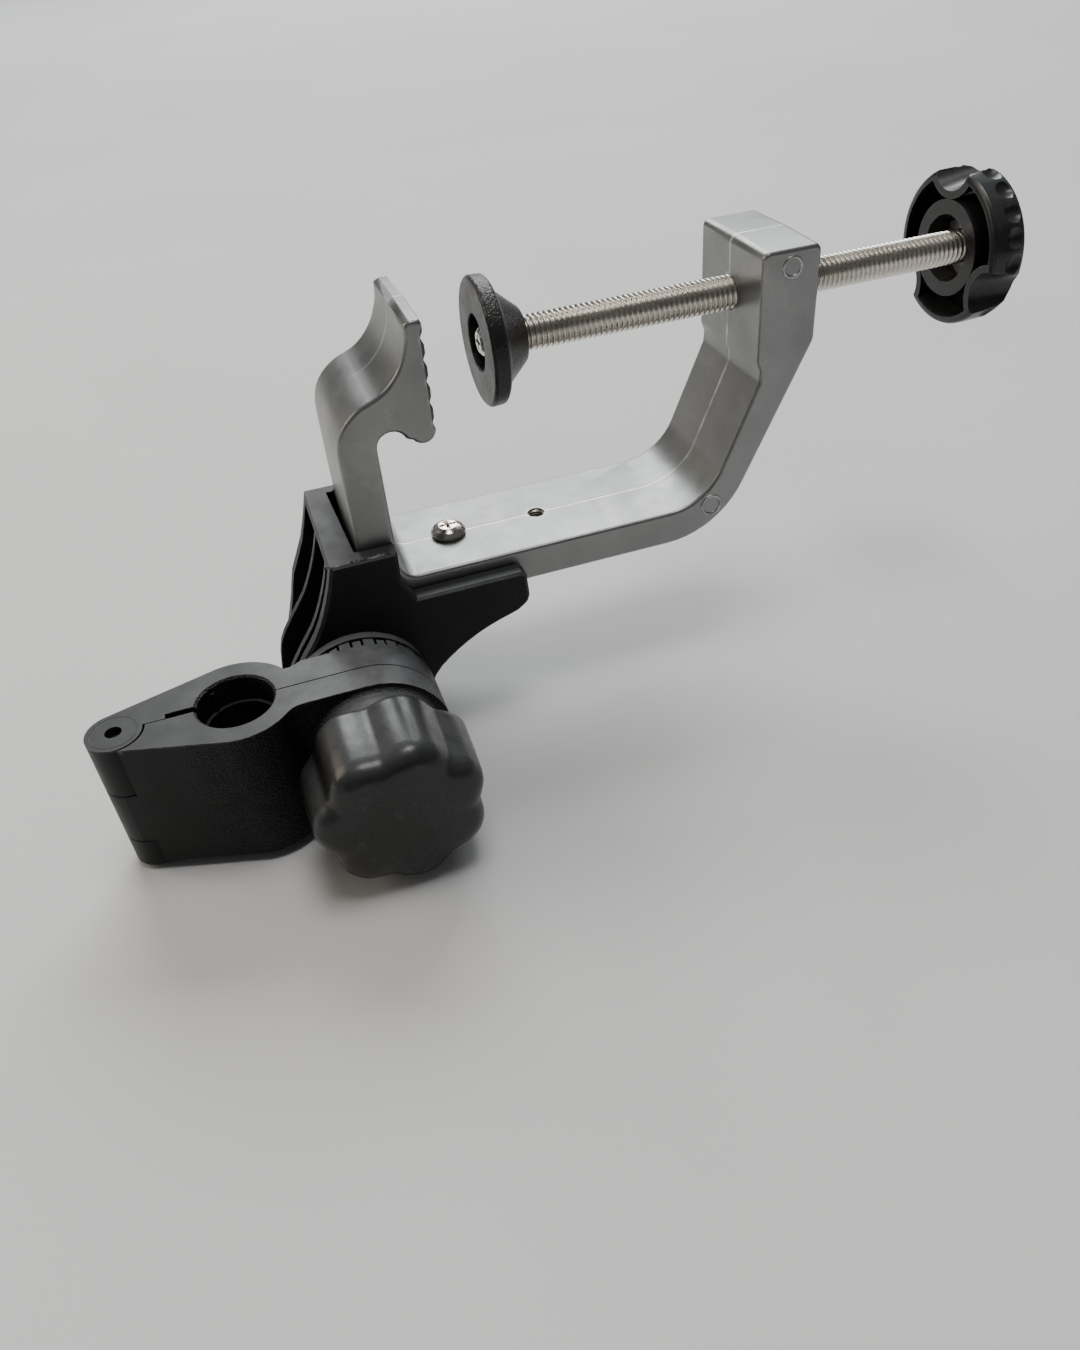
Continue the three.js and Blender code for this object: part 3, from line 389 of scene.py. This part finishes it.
def add_bevel(obj, width, angle=30, segments=3):
    bevel = obj.modifiers.new("edges", "BEVEL")
    bevel.width = width
    bevel.segments = segments
    bevel.limit_method = "ANGLE"
    bevel.angle_limit = math.radians(angle)
    bevel.use_clamp_overlap = True
    bevel.harden_normals = True


def place_on(obj, body, look, *nodes):
    obj.data.materials.clear()
    obj.data.materials.append(LOOKS[look])
    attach(obj, body)
    if nodes:
        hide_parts(*nodes)
    return obj


def clean_copy(node):
    """A node's mesh as a bmesh with shared corners and whole flat faces."""
    bm = bmesh.new()
    bm.from_mesh(frame["nodes"][node].data)
    bmesh.ops.remove_doubles(bm, verts=bm.verts, dist=2e-6)
    bmesh.ops.dissolve_limit(bm, angle_limit=math.radians(0.4), verts=bm.verts, edges=bm.edges)
    return bm


def refined(node, name, body, look, bevel, angle=30, smooth=32, change=None):
    """A finer piece that stands for a CAD node: same shape, with rounded edges and smooth curves."""
    bm = clean_copy(node)
    if change:
        change(bm)
    obj = from_bmesh(name, bm)
    obj.data.shade_smooth()
    obj.data.set_sharp_from_angle(angle=math.radians(smooth))
    if bevel:
        add_bevel(obj, bevel, angle)
    else:
        obj.modifiers.new("flat_faces", "WEIGHTED_NORMAL").keep_sharp = True
    return place_on(obj, body, look, node)


# ---------- pieces ----------

def crown_frame(bm):
    """Raises a slight ridge along the casting's parting line, as its draft leaves."""
    geometry = list(bm.verts) + list(bm.edges) + list(bm.faces)
    cut = bmesh.ops.bisect_plane(bm, geom=geometry, dist=1e-7, plane_co=(0, 0, 0), plane_no=(0, 1, 0))
    bm.normal_update()
    line = [v for v in cut["geom_cut"] if isinstance(v, bmesh.types.BMVert)]
    moves = []
    for vert in line:
        out = sum((face.normal for face in vert.link_faces), Vector())
        out.y = 0
        on_bar_top = abs(vert.co.z) < 0.05 * MM
        on_underside = vert.co.z < UNDERSIDE_BELOW
        if not on_bar_top and not on_underside and out.length > 1e-6:
            moves.append((vert, out.normalized() * CROWN_RISE))
    for vert, move in moves:
        vert.co += move


def build_frame():
    return refined("clamp_frame", "frame_casting", "base", "silver", 0, smooth=36, change=crown_frame)


def ring_mesh(bm, centre, across, along, sections, around=48):
    """A closed ring: each section point is (radius, height) about the centre."""
    rings = []
    normal = across.cross(along).normalized()
    for radius, height in sections:
        ring = []
        for i in range(around):
            angle = TAU * i / around
            out = across * math.cos(angle) + along * math.sin(angle)
            ring.append(bm.verts.new(centre + out * radius + normal * height))
        rings.append(ring)
    for k, first in enumerate(rings):
        second = rings[(k + 1) % len(rings)]
        for i in range(around):
            j = (i + 1) % around
            bm.faces.new((first[i], first[j], second[j], second[i]))


def raised_ring(name, body, look, centre, across, along, radius, width, rise):
    """A low rounded ring standing on a face, as an ejector pin or a mould insert leaves."""
    half = width / 2
    inner, outer = radius - half, radius + half
    shoulder = rise * 0.8
    sections = [(inner, -RING_SINK), (inner, 0), (radius - half * 0.5, shoulder), (radius, rise),
                (radius + half * 0.5, shoulder), (outer, 0), (outer, -RING_SINK)]
    bm = bmesh.new()
    ring_mesh(bm, Vector(centre), Vector(across), Vector(along), sections)
    obj = from_bmesh(name, bm)
    obj.data.shade_smooth()
    return place_on(obj, body, look)


def ejector_mark(name, x, z, radius):
    """A ring left by an ejector pin on the frame's front face."""
    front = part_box("clamp_frame")[0].y
    centre = (x, front, z)
    return raised_ring(name, "base", "silver", centre, (1, 0, 0), (0, 0, 1), radius, 0.8 * MM, 0.26 * MM)


def spare_hole_thread():
    """Crests of the M4 thread inside the bar's empty tapped hole."""
    centre = Vector((SPARE_HOLE_X, 0, -0.75 * MM))
    bm = bmesh.new()
    for k in range(10):
        sections = [(M4_HOLE_WALL, 0.26 * MM), (M4_CREST, 0.05 * MM),
                    (M4_CREST, -0.05 * MM), (M4_HOLE_WALL, -0.26 * MM)]
        turn = centre - Vector((0, 0, k * M4_PITCH))
        ring_mesh(bm, turn, Vector((1, 0, 0)), Vector((0, 1, 0)), sections, 36)
    obj = from_bmesh("spare_hole_thread", bm)
    return place_on(obj, "base", "thread")


def flash_strip(name, body, path, rise, thickness, seed, step=0.35 * MM):
    """A ragged thin fin of moulding flash standing along a path, with breaks in it."""
    pick = random.Random(seed)
    bm = bmesh.new()
    for start, end in zip(path, path[1:]):
        start, end = Vector(start), Vector(end)
        run = end - start
        side = run.cross(Vector((0, 0, 1))).normalized() * thickness / 2
        count = max(2, int(run.length / step))
        previous = None
        for i in range(count + 1):
            height = rise * max(0.05, pick.gauss(0.55, 0.35))
            foot = start + run * (i / count)
            lean = side * pick.uniform(-0.6, 0.6)
            low_a = bm.verts.new(foot + side - Vector((0, 0, 0.08 * MM)))
            low_b = bm.verts.new(foot - side - Vector((0, 0, 0.08 * MM)))
            top = bm.verts.new(foot + lean + Vector((0, 0, height)))
            section = (low_a, low_b, top)
            if previous is None:
                bm.faces.new(section)
            else:
                for k in range(3):
                    m = (k + 1) % 3
                    bm.faces.new((previous[k], previous[m], section[m], section[k]))
            previous = section
        bm.faces.new(reversed(previous))
    obj = from_bmesh(name, bm)
    return place_on(obj, body, "flash")


def threaded_rod():
    """The clamping screw with its M8 thread as a true helix."""
    pitch = M8_PITCH
    low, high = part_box("clamp_screw")
    outer = (high.z - low.z) / 2
    inner = outer - M8_THREAD_DEPTH
    # share of the pitch and radius, from one root over the crest to the next
    flank = inner + 0.3 * (outer - inner)
    profile = [(0.0, inner), (0.09, inner), (0.2, flank), (0.44, outer - 0.02 * MM),
               (0.5, outer), (0.57, outer), (0.63, outer - 0.02 * MM), (0.87, flank)]
    around = 72
    turns = int((high.x - low.x) / pitch) + 3
    bm = bmesh.new()
    grid = []
    for k in range(turns * len(profile)):
        share, radius = profile[k % len(profile)]
        base = low.x + (k // len(profile) - 1.5 + share) * pitch
        row = []
        for i in range(around):
            angle = TAU * i / around
            x = base + pitch * i / around
            r = radius
            if x < low.x or x > high.x:
                r = inner
            x = min(max(x, low.x), high.x)
            row.append(bm.verts.new((x, r * math.cos(angle), SCREW_AXIS.z + r * math.sin(angle))))
        grid.append(row)
    step = len(profile)
    for k in range(len(grid) - 1):
        for i in range(around - 1):
            bm.faces.new((grid[k][i], grid[k + 1][i], grid[k + 1][i + 1], grid[k][i + 1]))
        if k + 1 + step < len(grid):
            bm.faces.new((grid[k][-1], grid[k + 1][-1], grid[k + 1 + step][0], grid[k + step][0]))
    bmesh.ops.remove_doubles(bm, verts=bm.verts, dist=1e-6)
    bmesh.ops.dissolve_degenerate(bm, edges=bm.edges, dist=1e-7)
    for vert in [v for v in bm.verts if not v.link_faces]:
        bm.verts.remove(vert)
    bmesh.ops.holes_fill(bm, edges=[e for e in bm.edges if e.is_boundary], sides=0)
    obj = from_bmesh("threaded_rod", bm)
    obj.data.shade_smooth()
    obj.data.set_sharp_from_angle(angle=math.radians(50))
    return place_on(obj, "screw", "thread", "clamp_screw")


def knob_radius(angle):
    wave = (1 + math.cos(KNOB_LOBES * (angle - KNOB_PHASE))) / 2
    return KNOB_RADIUS - KNOB_LOBE_DEPTH * (1 - wave ** KNOB_LOBE_SHARPNESS)


def lobed_knob():
    """The seven-lobed knob as one closed shell, with its insert's bore at the back."""
    low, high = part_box("tilt_knob")
    back, front = high.y, low.y
    bore = size("knob_insert").x / 2 + 0.3 * MM
    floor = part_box("knob_insert")[0].y - 0.3 * MM
    around = KNOB_LOBES * 18
    # each row is its place along the axis, its inset from the lobed outline, or the radius of a plain circle
    rows = [(floor, 0.0, bore * 0.35), (floor, 0.0, bore), ((floor + back) / 2, 0.0, bore),
            (back - 0.5 * MM, 0.0, bore), (back, 0.0, bore + 0.5 * MM), (back, 0.0, bore + 4 * MM),
            (back, 1.3 * MM, None), (back - 0.2 * MM, 0.5 * MM, None), (back - 0.9 * MM, 0.0, None),
            (back - 2 * MM, 0.0, None), (back - 9 * MM, 0.15 * MM, None),
            (front + KNOB_EDGE + 1.2 * MM, 0.4 * MM, None)]
    for i in range(1, 7):
        a = i / 6 * math.pi / 2
        y = front + KNOB_DOME_RISE + KNOB_EDGE * (1 - math.sin(a))
        rows.append((y, KNOB_EDGE_INSET + KNOB_EDGE * (1 - math.cos(a)) * 1.05, None))
    dome = [(0.86, 0.45), (0.7, 0.28), (0.5, 0.12), (0.3, 0.04), (0.12, 0.0)]
    bm = bmesh.new()
    rings = []
    for y, inset, plain in rows:
        ring = []
        for i in range(around):
            a = TAU * i / around
            r = plain if plain is not None else knob_radius(a) - inset
            ring.append(bm.verts.new((TILT_AXIS.x + r * math.cos(a), y, TILT_AXIS.z + r * math.sin(a))))
        rings.append(ring)
    flat = KNOB_RADIUS - KNOB_EDGE_INSET - KNOB_EDGE * 1.05
    for share, rise in dome:
        ring = []
        for i in range(around):
            a = TAU * i / around
            lobe = knob_radius(a) - KNOB_RADIUS
            r = flat * share + lobe * share ** 3
            x = TILT_AXIS.x + r * math.cos(a)
            z = TILT_AXIS.z + r * math.sin(a)
            ring.append(bm.verts.new((x, front + rise * MM, z)))
        rings.append(ring)
    for first, second in zip(rings, rings[1:]):
        for i in range(around):
            j = (i + 1) % around
            bm.faces.new((first[i], first[j], second[j], second[i]))
    bm.faces.new(rings[0])
    bm.faces.new(reversed(rings[-1]))
    obj = from_bmesh("knob_shell", bm)
    obj.data.shade_smooth()
    obj.data.set_sharp_from_angle(angle=math.radians(50))
    return place_on(obj, "knob", "knob", "tilt_knob")


def build_flash():
    """The ragged flash along the collar's front top edge, and the low ring on the hinge's top knuckle."""
    collar_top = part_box("mounting_bracket")[1].z
    path = [(x, COLLAR_FRONT_Y, collar_top) for x in COLLAR_FLASH_ENDS]
    flash_strip("collar_flash", "base", path, 0.5 * MM, 0.4 * MM, 3)
    hinge_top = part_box("rear_clamp_half")[1].z
    raised_ring("knuckle_ring", "rear_half", "grained", (HINGE_AXIS.x, HINGE_AXIS.y, hinge_top),
                (1, 0, 0), (0, 1, 0), 4.9 * MM, 0.3 * MM, 0.07 * MM)


def build_pieces():
    build_frame()
    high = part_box("clamp_frame")[1]
    ejector_mark("ejector_mark_head", high.x - HEAD_MARK_INSET, high.z - HEAD_MARK_DROP, HEAD_MARK_RADIUS)
    ejector_mark("ejector_mark_bend", high.x - BEND_MARK_INSET, BEND_MARK_Z, BEND_MARK_RADIUS)
    threaded_rod()
    spare_hole_thread()
    lobed_knob()
    build_flash()
    refined("mounting_bracket", "bracket_shell", "base", "bracket", 0.3 * MM)
    refined("rear_clamp_half", "rear_half_shell", "rear_half", "grained", 0.35 * MM)
    refined("front_clamp_half", "front_half_shell", "front_half", "grained", 0.5 * MM)
    refined("hand_wheel", "wheel_shell", "screw", "wheel", 0.3 * MM)
    refined("clamp_pad", "pad_shell", "pad", "pad", 0.3 * MM, 40)
    refined("bracket_screw", "pan_head_screw", "base", "bright", 0.08 * MM, 25)
    refined("pad_screw", "pad_fixing_screw", "screw", "bright", 0.08 * MM, 25)


def dress_hidden_nodes():
    looks = {"pad_washer": "zinc", "wheel_insert": "zinc", "bracket_nut": "zinc", "joint_bolt": "zinc",
             "bolt_washer": "zinc", "release_spring": "zinc", "thrust_washer": "zinc", "hinge_pin": "zinc",
             "knob_washer": "zinc", "knob_insert": "brass"}
    for node, look in looks.items():
        mesh = frame["nodes"][node].data
        mesh.materials.clear()
        mesh.materials.append(LOOKS[look])


# ---------- stage ----------

def build_floor():
    n = Nodes("pale_floor")
    color = n.blend(n.fit(n.noise(6, 4), 0.3, 0.7), grey(0.72), grey(0.76))
    look = n.finish(color, 0.75, 0.0, n.bump(n.noise(900, 3), 0.05, 0.1 * MM), specular=0.2)
    bm = bmesh.new()
    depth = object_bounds()[0][2] - 0.5 * MM
    bmesh.ops.create_grid(bm, x_segments=8, y_segments=8, size=3.0, matrix=Matrix.Translation((0, 0, depth)))
    floor = from_bmesh("floor", bm)
    floor.data.materials.append(look)


def area_light(name, place, target, width, height, power, tint=(1, 1, 1)):
    light = bpy.data.lights.new(name, "AREA")
    light.shape = "RECTANGLE"
    light.size = width
    light.size_y = height
    light.energy = power
    light.color = tint
    obj = bpy.data.objects.new(name, light)
    obj.location = place
    obj.rotation_euler = (Vector(target) - Vector(place)).to_track_quat("-Z", "Y").to_euler()
    bpy.context.scene.collection.objects.link(obj)


def build_lights():
    area_light("window", (0.50, 2.05, 1.65), (-0.02, 0, 0), 2.3, 1.3, 74.0, (0.97, 0.99, 1.0))
    area_light("ceiling", (0.08, -0.08, 1.25), (-0.05, 0, 0), 0.5, 0.5, 7.0, (1.0, 0.99, 0.97))
    area_light("warm_card", (-0.75, 0.30, 0.42), (0.02, 0, 0.02), 0.5, 0.5, 2.6, (1.0, 0.86, 0.70))
    world = bpy.data.worlds.new("studio")
    world.use_nodes = True
    world.node_tree.nodes["Background"].inputs["Color"].default_value = (0.95, 0.97, 1.0, 1)
    world.node_tree.nodes["Background"].inputs["Strength"].default_value = 0.11
    bpy.context.scene.world = world


def build_camera():
    camera = bpy.data.cameras.new("camera")
    camera.sensor_width = 36
    camera.lens = 27.88
    obj = bpy.data.objects.new("camera", camera)
    right = Vector((0.9438, -0.3219, -0.0745))
    up = Vector((0.2584, 0.5785, 0.7737))
    back = Vector((-0.2060, -0.7495, 0.6292))
    turn = Matrix((right, up, back)).transposed().to_4x4()
    obj.matrix_world = Matrix.Translation((-0.06864, -0.21511, 0.13012)) @ turn
    bpy.context.scene.collection.objects.link(obj)
    bpy.context.scene.camera = obj


build_pieces()
dress_hidden_nodes()
build_camera()
build_lights()
build_floor()
